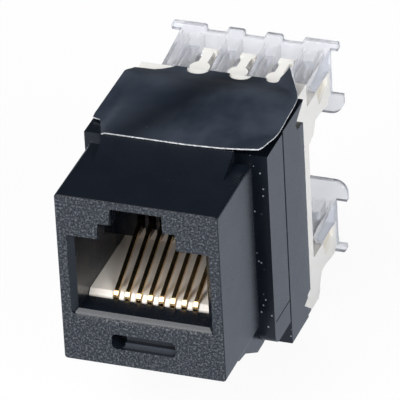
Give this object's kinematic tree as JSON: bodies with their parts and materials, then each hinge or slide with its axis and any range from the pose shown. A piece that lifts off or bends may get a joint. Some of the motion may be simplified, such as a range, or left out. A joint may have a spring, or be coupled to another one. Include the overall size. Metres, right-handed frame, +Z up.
{
  "type": "keystone jack",
  "caption": "Snap-in plug socket for a panel, with a stepped front opening, sprung contacts, and rear rows of wire-piercing terminals under clear sliding caps.",
  "frame": {"origin": "middle of the lower edge of the front face, where the jack's own frame meets the front of the panel", "axes": "+X right seen from the front, +Y back through the panel towards the wire terminals, +Z up towards the latch tooth"},
  "size_m": [0.0164, 0.031, 0.025],
  "materials": {
    "housing_black": "black moulded plastic, fine spark texture on the front face, satin sides",
    "carrier_ivory": "plain ivory moulded plastic",
    "contact_gold": "gold-plated spring wire",
    "board_green": "solder-masked glass-fibre board",
    "block_ivory": "ivory moulded plastic, slightly satin",
    "blade_tin": "tin-plated bronze strip",
    "cap_clear": "clear polycarbonate with a faint smoky edge",
    "film_charcoal": "thin charcoal film with a soft sheen and pale cut edges"
  },
  "bodies": {
    "jack": {"front_housing": "housing_black", "rear_sleeve": "housing_black", "contact_carrier": "carrier_ivory", "contact_1": "contact_gold", "contact_2": "contact_gold", "contact_3": "contact_gold", "contact_4": "contact_gold", "contact_5": "contact_gold", "contact_6": "contact_gold", "contact_7": "contact_gold", "contact_8": "contact_gold", "circuit_board": "board_green", "idc_block": "block_ivory", "idc_blade_1": "blade_tin", "idc_blade_2": "blade_tin", "idc_blade_3": "blade_tin", "idc_blade_4": "blade_tin", "idc_blade_5": "blade_tin", "idc_blade_6": "blade_tin", "idc_blade_7": "blade_tin", "idc_blade_8": "blade_tin", "top_label": "film_charcoal"},
    "upper_cap": {"upper_cap": "cap_clear"},
    "lower_cap": {"lower_cap": "cap_clear"}
  },
  "joints": [
    {"name": "upper_cap_pull", "type": "slide", "parent": "jack", "child": "upper_cap", "axis": [0, 1, 0], "range_m": [0, 0.007]},
    {"name": "lower_cap_pull", "type": "slide", "parent": "jack", "child": "lower_cap", "axis": [0, 1, 0], "range_m": [0, 0.007]}
  ]
}
